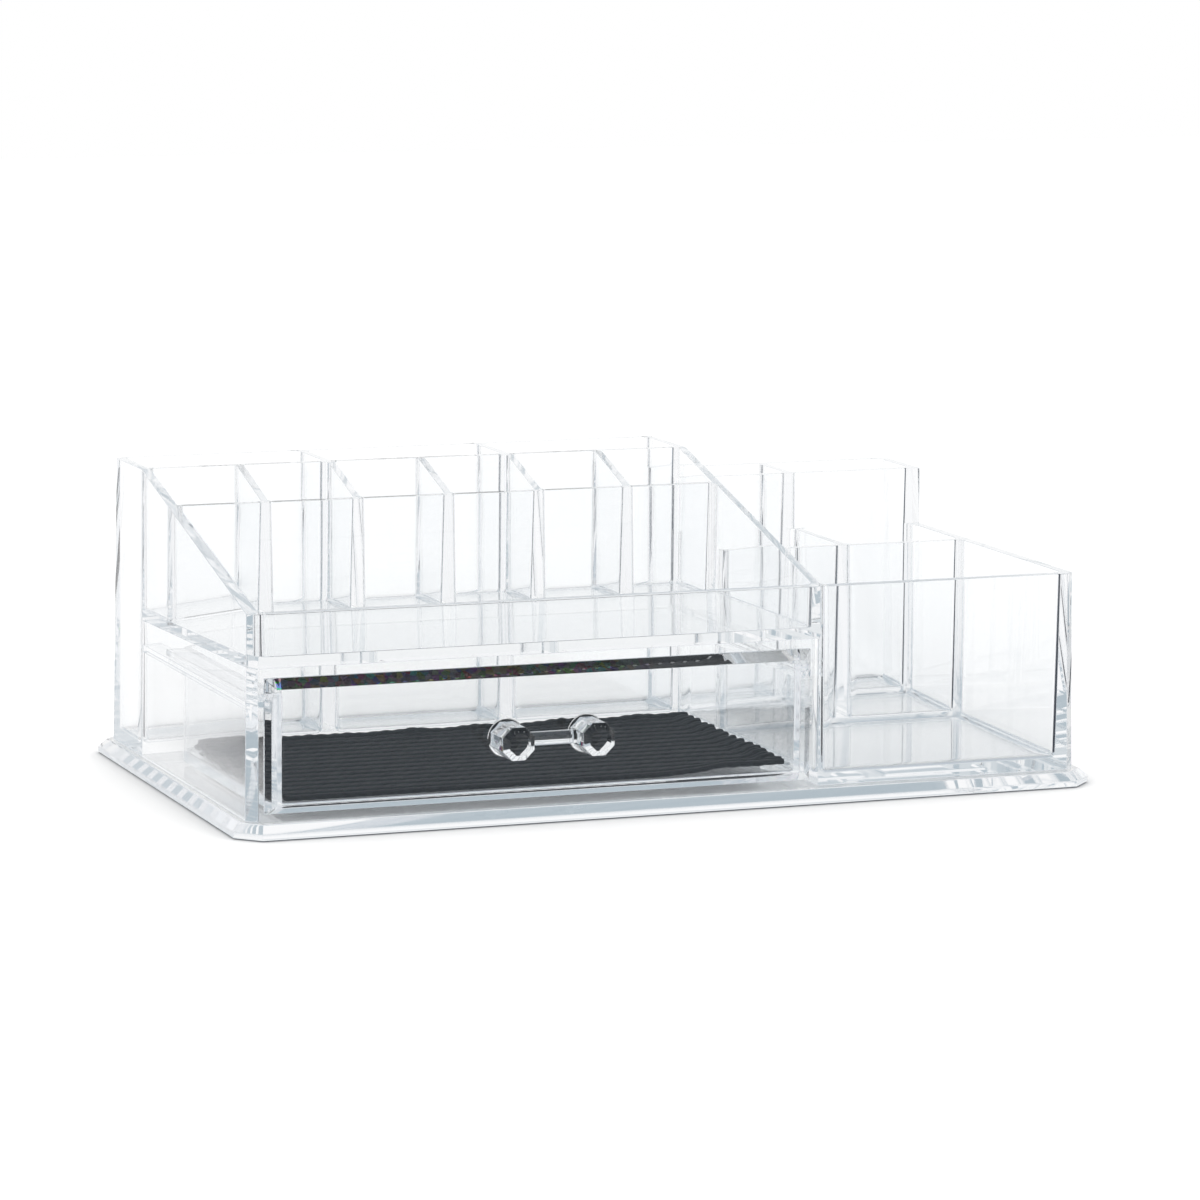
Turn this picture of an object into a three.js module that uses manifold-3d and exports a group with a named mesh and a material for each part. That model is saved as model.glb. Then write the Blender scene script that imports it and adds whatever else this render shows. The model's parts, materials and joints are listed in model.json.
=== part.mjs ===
// Clear countertop makeup organizer with one lined drawer.
//
// The organizer is bonded from clear sheets on a bevelled base plate. A tall
// block on the left holds a back bay, a row of lipstick compartments and an
// open tray, with a drawer below the tray. A lower block on the right steps
// down from a back bay to two cups and one large open compartment. The drawer
// hangs from two lips that slide on rails inside the tall block.
//
// Units are millimetres and +Z is up. All sheets are placed from the front
// left foot of the body, and the whole part is then moved so that its origin
// is under the middle of its footprint, on the surface it stands on.

import * as THREE from 'three';
import { mergeVertices } from 'three/addons/utils/BufferGeometryUtils.js';
import Module from 'manifold-3d';

const wasm = await Module();
wasm.setup();

// Body
const bodyWidth = 309;
const bodyDepth = 168;
const wallThickness = 3.5;
const innerWallThickness = 2.8;
const floorThickness = 3.4;
const cornerClip = 3.5;
const seatGap = 0.3;
const overrun = 5;

// Base plate
const plateThickness = 5;
const plateBevel = 3;
const plateSideMargin = 6.5;
const plateEndMargin = 9;
const plateCornerClip = 8;

// Heights of the rims above the surface that the organizer stands on
const tallHeight = 109.6;
const bayHeight = 97.5;
const lowHeight = 76.3;

// Tall block on the left
const tallBlockWidth = 211.4;
const partitionThickness = 2.6;
const slopeFrontOffset = 3.5;
const backBayDepth = 29.7;
const backBayDividerCount = 2;
const lipstickRowDepth = 31.6;
const lipstickDividerCount = 5;
const lipstickTopLanding = 2.5;
const trayDepth = 15;
const trayFall = 3.3;
const trayThickness = 3.6;

// Low block on the right
const rightBayDepth = 26.2;
const cupRowDepth = 43.8;
const rightBayDividerShare = 0.475;
const cupDividerShare = 0.5;

// Drawer rails inside the tall block
const leftRailWidth = 6.1;
const rightRailWidth = 4;
const railThickness = 2.4;
const railDrop = 12.3;

// Drawer
const drawerFrontRecess = 0.8;
const drawerFrontThickness = 5;
const drawerFrontBevel = 3.4;
const drawerFrontLeftGap = 2.8;
const drawerFrontRightGap = 0.6;
const drawerFrontTopGap = 4.3;
const drawerFloorGap = 1.4;
const drawerFloorThickness = 3;
const drawerWallThickness = 2.2;
const drawerWallGap = 0.5;
const drawerBackGap = 19;
const drawerCornerRadius = 8;
const drawerCornerSteps = 6;
const lipThickness = 2.2;
const lipSideGap = 0.6;
const slidingGap = 0.3;

// Handle
const knobSpacing = 29.5;
const knobFlats = 11.6;
const knobLength = 15;
const knobCrown = 2;
const handleRise = 22.3;
const barFlats = 5;
const barStandoff = 4.6;

// Liner
const linerGap = 0.3;
const linerSideMargin = 1;
const linerFrontMargin = 2;
const linerBackMargin = 3;
const linerThickness = 1.5;
const linerRibHeight = 0.7;
const linerRibCount = 14;
const linerStepsPerRib = 6;

// Levels and places in the body that the sizes above give
const plateTop = plateThickness;
const floorTop = plateTop + floorThickness;
const partitionLeft = tallBlockWidth - partitionThickness;
const lowBlockRight = bodyWidth - wallThickness;
const backWallFront = bodyDepth - wallThickness;
const midWallBack = backWallFront - backBayDepth;
const midWallFront = midWallBack - innerWallThickness;
const lipstickWallBack = midWallFront - lipstickRowDepth;
const lipstickWallFront = lipstickWallBack - innerWallThickness;
const rightBayBack = backWallFront - rightBayDepth;
const rightBayFront = rightBayBack - innerWallThickness;
const cupRowBack = rightBayFront - cupRowDepth;
const cupRowFront = cupRowBack - innerWallThickness;
const trayTopAtFront = lowHeight - trayDepth;
const trayEdgeBottom = trayTopAtFront - trayThickness;
const railTop = trayEdgeBottom - railDrop;
const railBottom = railTop - railThickness;

// Places in the drawer
const drawerFrontLeft = wallThickness + drawerFrontLeftGap;
const drawerFrontRight = partitionLeft - drawerFrontRightGap;
const drawerFrontBack = drawerFrontRecess + drawerFrontThickness;
const drawerFrontBottom = plateTop + drawerFloorGap;
const drawerFrontTop = trayEdgeBottom - drawerFrontTopGap;
const drawerLeft = wallThickness + leftRailWidth + drawerWallGap;
const drawerRight = partitionLeft - rightRailWidth - drawerWallGap;
const drawerBack = midWallFront - drawerBackGap;
const drawerBendFront = drawerBack - drawerCornerRadius;
const drawerFloorTop = drawerFrontBottom + drawerFloorThickness;
const drawerInsideLeft = drawerLeft + drawerWallThickness;
const drawerInsideRight = drawerRight - drawerWallThickness;
const drawerInsideBack = drawerBack - drawerWallThickness;
const lipBottom = railTop + slidingGap;
const lipTop = lipBottom + lipThickness;

const bodyTint = 0xe9eff0;
const drawerTint = 0xe2eaec;
const linerTint = 0x0b0b0d;

// One piece of clear plastic, in a material of its own.
function clearPiece(name, geometry, tint) {
  const mesh = new THREE.Mesh(geometry, new THREE.MeshStandardMaterial({
    color: tint, roughness: 0.05, metalness: 0, transparent: true, opacity: 0.35,
  }));
  mesh.name = name;
  return mesh;
}

const bodyPiece = (name, geometry) => clearPiece(name, geometry, bodyTint);
const drawerPiece = (name, geometry) => clearPiece(name, geometry, drawerTint);

// The height of the tall block's sloping rim, and of its tray floor, at a depth.
const slopeHeight = (y) => THREE.MathUtils.mapLinear(
  y, slopeFrontOffset, midWallFront, lowHeight, tallHeight,
);
const trayTop = (y) => trayTopAtFront - trayFall * y / midWallFront;

// Closes a stack of rings, each a list of [x, y, z] corners in the same order,
// counter-clockwise seen from the side that the stack grows towards.
function loft(rings) {
  const size = rings[0].length;
  const faces = [];
  for (let level = 0; level + 1 < rings.length; level += 1) {
    for (let i = 0; i < size; i += 1) {
      const a = level * size + i;
      const b = level * size + (i + 1) % size;
      faces.push(a, b, b + size, a, b + size, a + size);
    }
  }
  const top = (rings.length - 1) * size;
  for (let i = 1; i + 1 < size; i += 1) {
    faces.push(0, i + 1, i, top, top + i, top + i + 1);
  }
  const geometry = new THREE.BufferGeometry();
  geometry.setAttribute('position', new THREE.Float32BufferAttribute(rings.flat(2), 3));
  geometry.setIndex(faces);
  geometry.computeVertexNormals();
  return geometry;
}

// A flat sheet between two corners.
function sheet([left, right], [front, back], [bottom, top]) {
  const ring = (z) => [[left, front, z], [right, front, z], [right, back, z], [left, back, z]];
  return loft([ring(bottom), ring(top)]);
}

function flatShape(points) {
  return new THREE.Shape(points.map(([u, v]) => new THREE.Vector2(u, v)));
}

// A piece with one side view all the way across: its outline is in Y and Z.
function sideExtrusion(outline, [left, right]) {
  const geometry = new THREE.ExtrudeGeometry(flatShape(outline), {
    depth: right - left, bevelEnabled: false,
  });
  const axes = new THREE.Matrix4().makeBasis(
    new THREE.Vector3(0, 1, 0), new THREE.Vector3(0, 0, 1), new THREE.Vector3(1, 0, 0),
  );
  return geometry.applyMatrix4(axes.setPosition(left, 0, 0));
}

// A piece with one section all the way along: its outline is in X and Z.
function sectionExtrusion(outline, [front, back]) {
  const geometry = new THREE.ExtrudeGeometry(flatShape(outline), {
    depth: back - front, bevelEnabled: false,
  });
  const axes = new THREE.Matrix4().makeBasis(
    new THREE.Vector3(1, 0, 0), new THREE.Vector3(0, 0, 1), new THREE.Vector3(0, -1, 0),
  );
  return geometry.applyMatrix4(axes.setPosition(0, back, 0));
}

// A piece with one plan all the way up: its outline is in X and Y.
function planExtrusion(shape, [bottom, top]) {
  const geometry = new THREE.ExtrudeGeometry(shape, {
    depth: top - bottom, bevelEnabled: false, curveSegments: drawerCornerSteps,
  });
  return geometry.translate(0, 0, bottom);
}

function solid(geometry) {
  const bare = geometry.clone();
  bare.deleteAttribute('normal');
  bare.deleteAttribute('uv');
  const merged = mergeVertices(bare);
  return new wasm.Manifold(new wasm.Mesh({
    numProp: 3,
    vertProperties: new Float32Array(merged.attributes.position.array),
    triVerts: new Uint32Array(merged.index.array),
  }));
}

function surface(body) {
  const { vertProperties, triVerts } = body.getMesh();
  const geometry = new THREE.BufferGeometry();
  geometry.setAttribute('position', new THREE.BufferAttribute(vertProperties, 3));
  geometry.setIndex(new THREE.BufferAttribute(triVerts, 1));
  geometry.computeVertexNormals();
  return geometry;
}

// A rectangle with its corners clipped at 45 degrees, as one ring at one level.
function clippedRing([left, right], [front, back], clip, z) {
  return [
    [left + clip, front, z], [right - clip, front, z],
    [right, front + clip, z], [right, back - clip, z],
    [right - clip, back, z], [left + clip, back, z],
    [left, back - clip, z], [left, front + clip, z],
  ];
}

// Cuts the body's clipped vertical corners into an outer side wall.
function clipToBody(geometry) {
  const ring = (z) => clippedRing([0, bodyWidth], [0, bodyDepth], cornerClip, z);
  const room = loft([ring(-overrun), ring(tallHeight + overrun)]);
  return surface(solid(geometry).intersect(solid(room)));
}

// Left sides of the dividers that split a width into equal bays.
function equalDividers([left, right], count, thickness) {
  const bay = (right - left - count * thickness) / (count + 1);
  return Array.from({ length: count }, (_, i) => left + bay + i * (bay + thickness));
}

// Base plate: clipped corners, a plain lower edge and a 45 degree bevel above it.
function basePlate() {
  const outline = (inset, z) => clippedRing(
    [-plateSideMargin + inset, bodyWidth + plateSideMargin - inset],
    [-plateEndMargin + inset, bodyDepth + plateEndMargin - inset],
    plateCornerClip - inset * (2 - Math.SQRT2),
    z,
  );
  return bodyPiece('base_plate', loft([
    outline(0, 0), outline(0, plateThickness - plateBevel), outline(plateBevel, plateThickness),
  ]));
}

// The tall block's side walls are low in front and slope up to the mid wall.
function tallWalls() {
  const inside = [wallThickness, partitionLeft];
  const sideOutline = [
    [0, plateTop], [bodyDepth, plateTop], [bodyDepth, tallHeight],
    [midWallFront, tallHeight], [slopeFrontOffset, lowHeight], [0, lowHeight],
  ];
  return [
    bodyPiece('left_side_wall', clipToBody(sideExtrusion(sideOutline, [0, wallThickness]))),
    bodyPiece('partition_wall', sideExtrusion(sideOutline, [partitionLeft, tallBlockWidth])),
    bodyPiece('tall_back_wall',
      sheet(inside, [backWallFront, bodyDepth], [plateTop, tallHeight])),
    bodyPiece('mid_wall', sheet(inside, [midWallFront, midWallBack], [plateTop, tallHeight])),
    bodyPiece('back_bay_floor', sheet(inside, [midWallBack, backWallFront], [plateTop, floorTop])),
    bodyPiece('tray_front_wall', sheet(inside, [0, wallThickness], [trayEdgeBottom, lowHeight])),
  ];
}

// The tray floor falls a little to the back, so that things stay in the tray.
function trayFloor() {
  const outline = [
    [wallThickness, trayTop(wallThickness) - trayThickness],
    [midWallFront, trayTop(midWallFront) - trayThickness],
    [midWallFront, trayTop(midWallFront)],
    [wallThickness, trayTop(wallThickness)],
  ];
  return bodyPiece('tray_floor', sideExtrusion(outline, [wallThickness, partitionLeft]));
}

// The lipstick row: a front wall up to the sloping rim, and dividers that rise
// from it to a short landing at the top of the mid wall.
function lipstickRow() {
  const inside = [wallThickness, partitionLeft];
  const wallTop = slopeHeight(lipstickWallFront);
  const dividerOutline = [
    [lipstickWallBack, trayTop(lipstickWallBack) + seatGap],
    [midWallFront, trayTop(midWallFront) + seatGap],
    [midWallFront, tallHeight],
    [midWallFront - lipstickTopLanding, tallHeight],
    [lipstickWallBack, wallTop],
  ];
  const dividers = equalDividers(inside, lipstickDividerCount, innerWallThickness)
    .map((left, i) => bodyPiece(`lipstick_divider_${i + 1}`,
      sideExtrusion(dividerOutline, [left, left + innerWallThickness])));
  const frontWall = sheet(inside, [lipstickWallFront, lipstickWallBack],
    [trayTop(lipstickWallFront) + seatGap, wallTop]);
  return [bodyPiece('lipstick_front_wall', frontWall), ...dividers];
}

function backBayDividers() {
  const inside = [wallThickness, partitionLeft];
  return equalDividers(inside, backBayDividerCount, innerWallThickness)
    .map((left, i) => bodyPiece(`back_bay_divider_${i + 1}`,
      sheet([left, left + innerWallThickness], [midWallBack, backWallFront],
        [floorTop, tallHeight])));
}

// Rails that carry the drawer's lips. Their front ends stop the drawer front.
function drawerRails() {
  const run = [drawerFrontBack + slidingGap, midWallFront];
  const levels = [railBottom, railTop];
  return [
    bodyPiece('left_drawer_rail',
      sheet([wallThickness, wallThickness + leftRailWidth], run, levels)),
    bodyPiece('right_drawer_rail',
      sheet([partitionLeft - rightRailWidth, partitionLeft], run, levels)),
  ];
}

function lowBlock() {
  const inside = [tallBlockWidth, lowBlockRight];
  const sideOutline = [
    [0, plateTop], [bodyDepth, plateTop], [bodyDepth, bayHeight],
    [rightBayFront, bayHeight], [rightBayFront, lowHeight], [0, lowHeight],
  ];
  const dividerSides = (share) => {
    const middle = THREE.MathUtils.lerp(tallBlockWidth, lowBlockRight, share);
    return [middle - innerWallThickness / 2, middle + innerWallThickness / 2];
  };
  return [
    bodyPiece('right_side_wall', clipToBody(sideExtrusion(sideOutline, [lowBlockRight, bodyWidth]))),
    bodyPiece('right_floor', sheet(inside, [wallThickness, backWallFront], [plateTop, floorTop])),
    bodyPiece('right_front_wall', sheet(inside, [0, wallThickness], [plateTop, lowHeight])),
    bodyPiece('right_back_wall', sheet(inside, [backWallFront, bodyDepth], [plateTop, bayHeight])),
    bodyPiece('right_bay_front_wall',
      sheet(inside, [rightBayFront, rightBayBack], [floorTop, bayHeight])),
    bodyPiece('cup_row_wall', sheet(inside, [cupRowFront, cupRowBack], [floorTop, lowHeight])),
    bodyPiece('right_bay_divider', sheet(dividerSides(rightBayDividerShare),
      [rightBayBack, backWallFront], [floorTop, bayHeight])),
    bodyPiece('cup_divider', sheet(dividerSides(cupDividerShare),
      [cupRowBack, rightBayFront], [floorTop, lowHeight])),
  ];
}

// Front plate with a 45 degree bevel round its front face, as one loft that
// grows from its back face towards the front.
function drawerFront() {
  const ring = (inset, y) => [
    [drawerFrontLeft + inset, y, drawerFrontBottom + inset],
    [drawerFrontRight - inset, y, drawerFrontBottom + inset],
    [drawerFrontRight - inset, y, drawerFrontTop - inset],
    [drawerFrontLeft + inset, y, drawerFrontTop - inset],
  ];
  return drawerPiece('drawer_front', loft([
    ring(0, drawerFrontBack),
    ring(0, drawerFrontRecess + drawerFrontBevel),
    ring(drawerFrontBevel, drawerFrontRecess),
  ]));
}

// Each drawer side is one sheet whose top edge turns outwards into a lip.
function drawerSides() {
  const side = (name, outer, inner, lipEdge) => drawerPiece(name, sectionExtrusion([
    [inner, drawerFloorTop], [outer, drawerFloorTop], [outer, lipBottom],
    [lipEdge, lipBottom], [lipEdge, lipTop], [inner, lipTop],
  ], [drawerFrontBack, drawerBendFront]));
  return [
    side('drawer_left_side', drawerLeft, drawerInsideLeft, wallThickness + lipSideGap),
    side('drawer_right_side', drawerRight, drawerInsideRight, partitionLeft - lipSideGap),
  ];
}

// The drawer back is bent round both rear corners and meets the sides there.
function drawerBackWall() {
  const outer = drawerCornerRadius;
  const inner = drawerCornerRadius - drawerWallThickness;
  const bendLeft = drawerLeft + outer;
  const bendRight = drawerRight - outer;
  const outline = new THREE.Shape();
  outline.moveTo(drawerLeft, drawerBendFront);
  outline.lineTo(drawerInsideLeft, drawerBendFront);
  outline.absarc(bendLeft, drawerBendFront, inner, Math.PI, Math.PI / 2, true);
  outline.absarc(bendRight, drawerBendFront, inner, Math.PI / 2, 0, true);
  outline.lineTo(drawerRight, drawerBendFront);
  outline.absarc(bendRight, drawerBendFront, outer, 0, Math.PI / 2, false);
  outline.absarc(bendLeft, drawerBendFront, outer, Math.PI / 2, Math.PI, false);
  return drawerPiece('drawer_back_wall', planExtrusion(outline, [drawerFloorTop, lipTop]));
}

// The drawer floor carries the walls and follows the rounded rear corners.
function drawerFloor() {
  const radius = drawerCornerRadius;
  const outline = new THREE.Shape();
  outline.moveTo(drawerLeft, drawerFrontBack);
  outline.lineTo(drawerRight, drawerFrontBack);
  outline.absarc(drawerRight - radius, drawerBendFront, radius, 0, Math.PI / 2, false);
  outline.absarc(drawerLeft + radius, drawerBendFront, radius, Math.PI / 2, Math.PI, false);
  return drawerPiece('drawer_floor', planExtrusion(outline, [drawerFrontBottom, drawerFloorTop]));
}

// The corners of an octagon with one flat facing each way, counter-clockwise.
function octagon(flats) {
  const half = flats / 2;
  const side = half * Math.tan(Math.PI / 8);
  return [
    [-side, -half], [side, -half], [half, -side], [half, side],
    [side, half], [-side, half], [-half, side], [-half, -side],
  ];
}

// Two faceted knobs with crowned front faces, and an octagonal bar between
// them. Each is modelled about its own middle and placed on the drawer front.
function handle() {
  const middle = (drawerFrontLeft + drawerFrontRight) / 2;
  const height = drawerFrontBottom + handleRise;
  const knob = (name, x) => {
    const ring = (flats, y) => octagon(flats).map(([u, v]) => [u, y, v]);
    const mesh = drawerPiece(name, loft([
      ring(knobFlats, 0),
      ring(knobFlats, knobCrown - knobLength),
      ring(knobFlats - 2 * knobCrown, -knobLength),
    ]));
    mesh.position.set(x, drawerFrontRecess, height);
    return mesh;
  };
  const barHalf = (knobSpacing - knobFlats) / 2 - seatGap;
  const barRing = (x) => octagon(barFlats).map(([u, v]) => [x, u, v]);
  const bar = drawerPiece('handle_bar', loft([barRing(-barHalf), barRing(barHalf)]));
  bar.position.set(middle, drawerFrontRecess - barStandoff, height);
  return [
    knob('left_knob', middle - knobSpacing / 2), knob('right_knob', middle + knobSpacing / 2), bar,
  ];
}

// The liner lies loose in the drawer. Its corrugated top runs from side to side.
function liner() {
  const front = drawerFrontBack + linerFrontMargin;
  const back = drawerInsideBack - linerBackMargin;
  const bottom = drawerFloorTop + linerGap;
  const steps = linerRibCount * linerStepsPerRib;
  const outline = [[front, bottom], [back, bottom]];
  for (let i = 0; i <= steps; i += 1) {
    const wave = 0.5 - 0.5 * Math.cos(2 * Math.PI * i / linerStepsPerRib);
    outline.push([
      THREE.MathUtils.lerp(back, front, i / steps),
      bottom + linerThickness + linerRibHeight * wave,
    ]);
  }
  const mesh = new THREE.Mesh(
    sideExtrusion(outline, [drawerInsideLeft + linerSideMargin, drawerInsideRight - linerSideMargin]),
    new THREE.MeshStandardMaterial({ color: linerTint, roughness: 0.6, metalness: 0 }),
  );
  mesh.name = 'drawer_liner';
  return mesh;
}

const body = new THREE.Group();
body.add(
  basePlate(), ...tallWalls(), trayFloor(), ...lipstickRow(), ...backBayDividers(),
  ...drawerRails(), ...lowBlock(),
);

const drawer = new THREE.Group();
drawer.add(
  drawerFront(), drawerFloor(), drawerBackWall(), ...drawerSides(), ...handle(), liner(),
);

const footprintFront = Math.min(-plateEndMargin, drawerFrontRecess - knobLength);
const footprintBack = bodyDepth + plateEndMargin;
const group = new THREE.Group();
group.add(body, drawer);
group.position.set(-bodyWidth / 2, -(footprintFront + footprintBack) / 2, 0);

export default group;
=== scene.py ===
"""A clear countertop makeup organizer: a stepped tray-and-cup body on a bevelled base,
with one hanging drawer that has a faceted handle and a black corrugated liner."""
import json
import math

import bmesh
import bpy
from mathutils import Matrix, Vector

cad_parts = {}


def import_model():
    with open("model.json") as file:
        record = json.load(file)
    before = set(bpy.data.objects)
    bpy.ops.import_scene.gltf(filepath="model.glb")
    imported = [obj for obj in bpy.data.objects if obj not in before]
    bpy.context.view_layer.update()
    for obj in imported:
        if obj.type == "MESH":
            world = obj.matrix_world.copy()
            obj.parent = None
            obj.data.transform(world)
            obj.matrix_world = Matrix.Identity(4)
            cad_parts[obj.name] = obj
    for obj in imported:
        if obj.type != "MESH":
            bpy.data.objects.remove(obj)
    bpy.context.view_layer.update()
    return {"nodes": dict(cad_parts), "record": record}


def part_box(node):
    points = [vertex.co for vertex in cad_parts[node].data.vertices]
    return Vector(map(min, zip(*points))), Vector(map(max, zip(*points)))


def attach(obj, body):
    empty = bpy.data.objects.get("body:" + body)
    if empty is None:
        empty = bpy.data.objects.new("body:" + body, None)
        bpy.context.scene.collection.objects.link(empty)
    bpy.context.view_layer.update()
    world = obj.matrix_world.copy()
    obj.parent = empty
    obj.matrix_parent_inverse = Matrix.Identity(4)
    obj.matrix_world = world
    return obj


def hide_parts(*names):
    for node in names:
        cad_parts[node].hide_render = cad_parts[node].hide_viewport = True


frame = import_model()


# Camera.
# A long lens stands in front of the organizer, a little to its left and a little above it.
# Its place and lens were worked out from the edges and corners of the real thing.
AIM = Vector((0.004452, 0.0026, 0.061273))
AZIMUTH = math.radians(-21.044)
ELEVATION = math.radians(8.893)
ROLL = math.radians(0.456)
DISTANCE = 1.926
LENS_MM = 158.84
SENSOR_MM = 36
CAMERA_REACH = 20
LIGHT_BOUNCES = 96
SHADOW_LAYERS = 64

backwards = Vector((
    math.sin(AZIMUTH) * math.cos(ELEVATION),
    -math.cos(AZIMUTH) * math.cos(ELEVATION),
    math.sin(ELEVATION),
))
camera_data = bpy.data.cameras.new("camera")
camera_data.lens = LENS_MM
camera_data.sensor_width = SENSOR_MM
camera_data.clip_end = CAMERA_REACH
camera = bpy.data.objects.new("camera", camera_data)
camera.rotation_mode = "QUATERNION"
camera.location = AIM + backwards * DISTANCE
camera.rotation_quaternion = (
    (-backwards).to_track_quat("-Z", "Y") @ Matrix.Rotation(ROLL, 3, "Z").to_quaternion()
)
bpy.context.scene.collection.objects.link(camera)
bpy.context.scene.camera = camera
bpy.context.scene.view_settings.view_transform = "Standard"

# Light passes many clear walls one behind the other before it reaches the camera.
bpy.context.scene.cycles.max_bounces = LIGHT_BOUNCES
bpy.context.scene.cycles.transmission_bounces = LIGHT_BOUNCES
bpy.context.scene.cycles.glossy_bounces = LIGHT_BOUNCES
bpy.context.scene.cycles.transparent_max_bounces = SHADOW_LAYERS


# Studio.
# Everything is white to the eye and straight through the clear walls. Edges and facets mirror a
# room of soft panels with dark between them, in deeper tones the more often light is thrown back.
WHITE = (1, 1, 1, 1)
ROOM_DARK = (0.12, 0.14, 0.16, 1)
SOFT_PANELS = (
    # direction it lies in, half its width in degrees, softness in degrees, brightness
    ((0, 1, 0.05), 50, 10, 1.0),
    ((-1, 0.1, 0.1), 34, 8, 1.2),
    ((1, 0.3, 0.1), 24, 8, 0.9),
    ((0.35, -1, 0.15), 22, 10, 0.5),
    ((0, 0.2, 1), 26, 8, 1.0),
)
DEEP_TONES = (
    # colour of the light, from how many times thrown back to how many
    ((0.46, 0.53, 0.58, 1), 2.5, 8.0),
    ((0.90, 0.92, 0.95, 1), 20.0, 26.0),
)
NEVER_TO_ONCE = 0.5


def add(nodes, kind, **values):
    """A new node, with the values of its properties or input sockets."""
    node = nodes.new(kind)
    for name, value in values.items():
        if hasattr(node, name):
            setattr(node, name, value)
        else:
            node.inputs[name.replace("_", " ")].default_value = value
    return node


def product(tree, first, second):
    """A Math node's output: one value or socket times another."""
    node = add(tree.nodes, "ShaderNodeMath", operation="MULTIPLY")
    for socket, value in zip(node.inputs, (first, second)):
        if isinstance(value, (int, float)):
            socket.default_value = value
        else:
            tree.links.new(value, socket)
    return node.outputs[0]


def total(tree, sockets):
    """The sum of all these sockets, as one output."""
    result = sockets[0]
    for socket in sockets[1:]:
        node = add(tree.nodes, "ShaderNodeMath", operation="ADD")
        tree.links.new(result, node.inputs[0])
        tree.links.new(socket, node.inputs[1])
        result = node.outputs[0]
    return result


def ramp(tree, value, first, last, **settings):
    """A Map Range node's output. It goes from nought at first to one, or To_Max, at last."""
    node = add(tree.nodes, "ShaderNodeMapRange", From_Min=first, From_Max=last, **settings)
    tree.links.new(value, node.inputs["Value"])
    return node.outputs["Result"]


def blended(tree, share, first, second):
    """A Mix node's colour. Each of its two colours is a value or a socket."""
    mix = add(tree.nodes, "ShaderNodeMix", data_type="RGBA")
    tree.links.new(share, mix.inputs[0])
    for socket, colour in zip((mix.inputs[6], mix.inputs[7]), (first, second)):
        if isinstance(colour, tuple):
            socket.default_value = colour
        else:
            tree.links.new(colour, socket)
    return mix.outputs[2]


def either(tree, share, first, second):
    """A Mix Shader node's output, from its share and its two shaders."""
    mix = tree.nodes.new("ShaderNodeMixShader")
    for socket, output in zip(mix.inputs, (share, first, second)):
        tree.links.new(output, socket)
    return mix.outputs[0]


def mirrored(tree):
    """One for light that a surface has thrown back, nought for what is seen straight through."""
    path = tree.nodes.new("ShaderNodeLightPath")
    caught = add(tree.nodes, "ShaderNodeMath", operation="GREATER_THAN")
    tree.links.new(path.outputs["Glossy Depth"], caught.inputs[0])
    caught.inputs[1].default_value = NEVER_TO_ONCE
    return caught.outputs[0]


def deepened(tree, colour):
    """The colour, turning into the deep tones with the number of times that light was thrown."""
    times = tree.nodes.new("ShaderNodeLightPath").outputs["Glossy Depth"]
    for tone, first, last in DEEP_TONES:
        colour = blended(tree, ramp(tree, times, first, last), colour, tone)
    return colour


def studio_world():
    """The world: white to the eye, and the room of soft panels for what mirrors it."""
    world = bpy.data.worlds.new("studio")
    world.use_nodes = True
    tree = world.node_tree
    tree.nodes.clear()
    directions = tree.nodes.new("ShaderNodeTexCoord").outputs["Generated"]
    panels = []
    for place, half_width, softness, brightness in SOFT_PANELS:
        towards = add(tree.nodes, "ShaderNodeVectorMath", operation="DOT_PRODUCT")
        tree.links.new(directions, towards.inputs[0])
        towards.inputs[1].default_value = Vector(place).normalized()
        panels.append(ramp(
            tree, towards.outputs["Value"],
            math.cos(math.radians(half_width + softness)),
            math.cos(math.radians(half_width - softness)),
            interpolation_type="SMOOTHSTEP", To_Max=brightness,
        ))
    room = blended(tree, total(tree, panels), ROOM_DARK, WHITE)
    seen = blended(tree, mirrored(tree), WHITE, deepened(tree, room))
    sky = tree.nodes.new("ShaderNodeBackground")
    tree.links.new(seen, sky.inputs["Color"])
    tree.links.new(sky.outputs[0], tree.nodes.new("ShaderNodeOutputWorld").inputs["Surface"])
    return world


bpy.context.scene.world = studio_world()


# Floor.
# A wide sheet of matt white paper, a hair under the plate, keeps the organizer's faint shadow and
# has a painted contact shadow. For mirrored light it glows with painted reflections instead:
# white, with a grey card in front and a dark card at each side.
FLOOR_HALF = 3.0
FLOOR_DROP = 0.0004
FLOOR_WHITE = (0.97, 0.97, 0.97, 1)
FLOOR_LIFT = 0.12
# Painted contact shadow colour, seen by the eye only.
PAINTED_CONTACT_SHADOW = (0.22, 0.23, 0.25, 1)
CONTACT_REACH = 0.014
CONTACT_SAMPLES = 8
CONTACT_STRENGTH = 1.1
# Painted reflections: tones that the paper glows in only for mirrored light.
PAINTED_REFLECTION_WHITE = (0.99, 0.99, 1.0, 1)
PAINTED_REFLECTION_GREY = (0.44, 0.50, 0.56, 1)
PAINTED_REFLECTION_SPAN = (-0.60, 0.0)
PAINTED_REFLECTION_STOPS = ((0.0, PAINTED_REFLECTION_WHITE), (0.30, PAINTED_REFLECTION_GREY), (0.85, PAINTED_REFLECTION_GREY), (1.0, PAINTED_REFLECTION_WHITE))
PAINTED_REFLECTION_DARK = (0.03, 0.035, 0.05, 1)
PAINTED_DARK_EDGES = (0.172, 0.20)
PAINTED_DARK_FRONT = (-0.20, -0.10)
PAINTED_DARK_BACK = (0.16, 0.08)
KEY_SIZE = (1.6, 1.2)
KEY_WATTS = 6
KEY_PLACE = (-0.5, 0.5, 1.5)


def new_material(name):
    """A material with an empty node tree, and that tree."""
    material = bpy.data.materials.new(name)
    material.use_nodes = True
    material.node_tree.nodes.clear()
    return material, material.node_tree


def show(tree, shader):
    """Makes this shader the look of the tree's material."""
    tree.links.new(shader, tree.nodes.new("ShaderNodeOutputMaterial").inputs["Surface"])


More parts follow.
